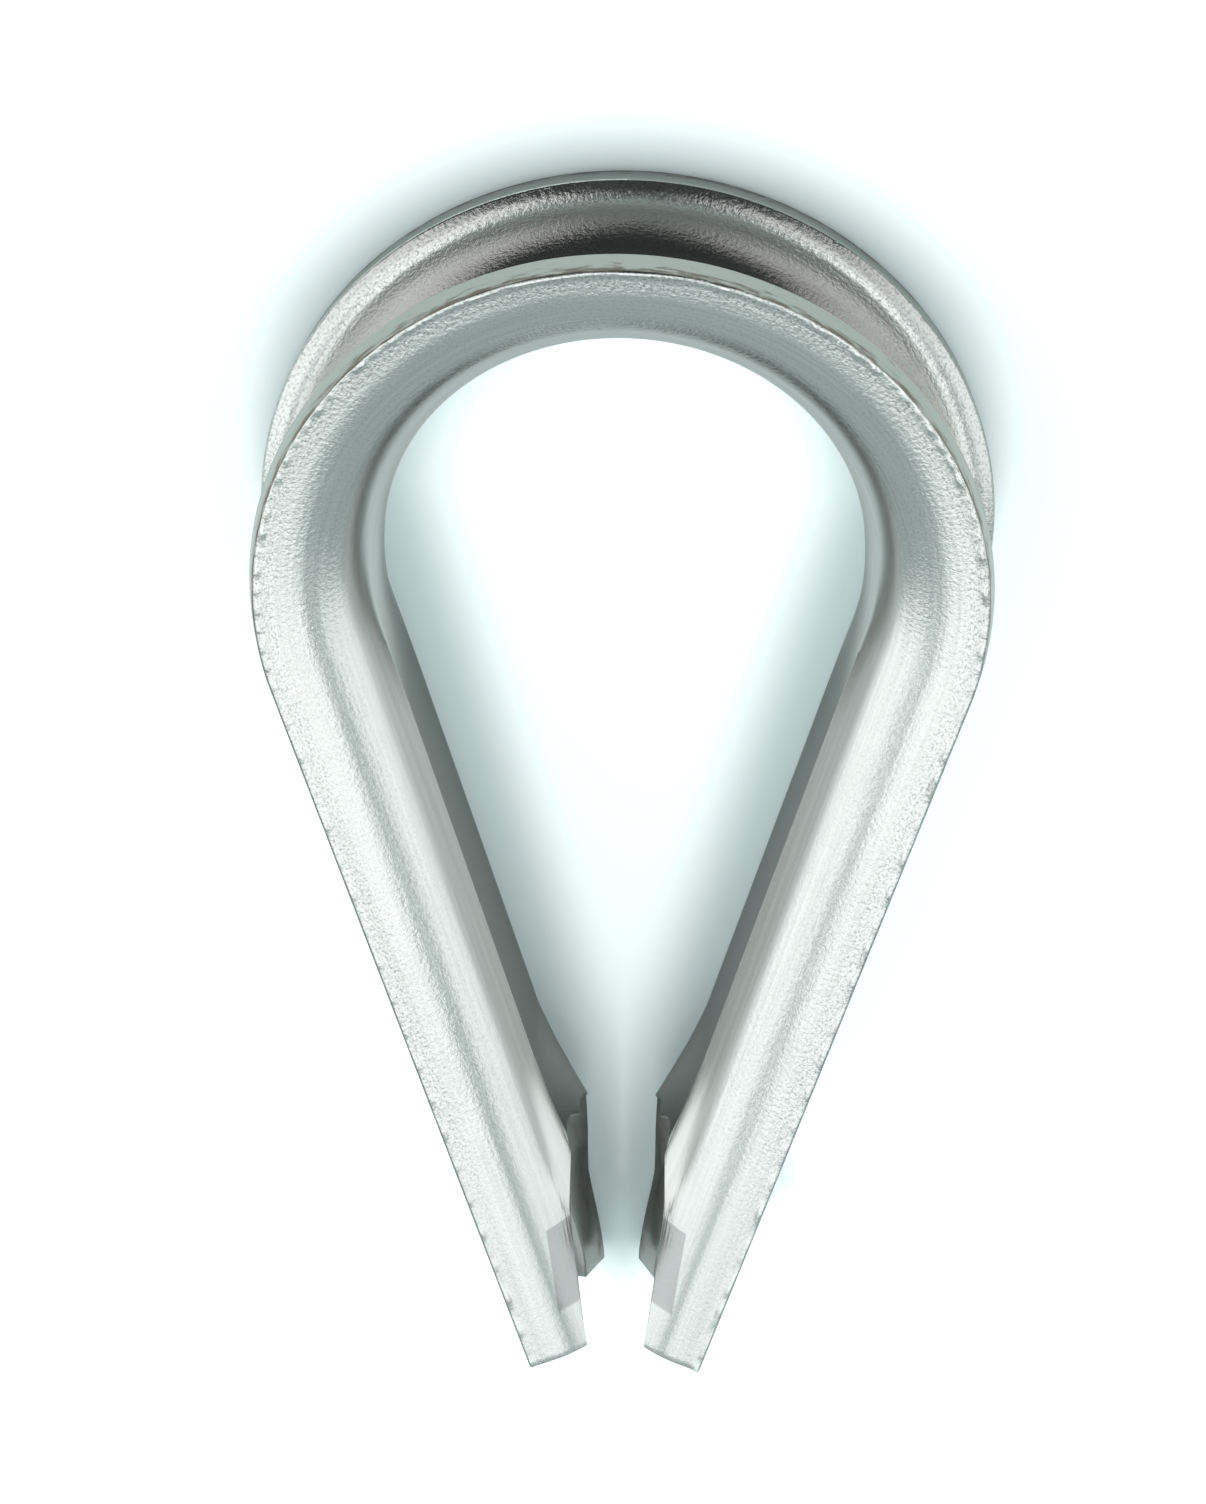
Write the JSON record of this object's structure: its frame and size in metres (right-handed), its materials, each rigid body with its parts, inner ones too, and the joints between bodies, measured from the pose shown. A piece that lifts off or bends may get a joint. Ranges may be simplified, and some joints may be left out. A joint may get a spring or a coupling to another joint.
{
  "type": "wire rope thimble",
  "caption": "Pear-shaped eye of channelled stainless sheet that lines the loop at a wire rope's end, with a groove round the outside for the rope and mitred tips.",
  "frame": {"origin": "centre of the crown's arc, on the eye's axis and on the middle plane of the channel", "axes": "+Z along the eye, the way a pin passes through it; +Y from the eye's centre to the crown; the tips point to -Y"},
  "size_m": [0.0174, 0.0306, 0.0052],
  "materials": {
    "stainless": "satin, as rolled, with fine drawing lines along the strip and bright sheared edges"
  },
  "bodies": {
    "root": {"thimble": "stainless"}
  },
  "joints": []
}
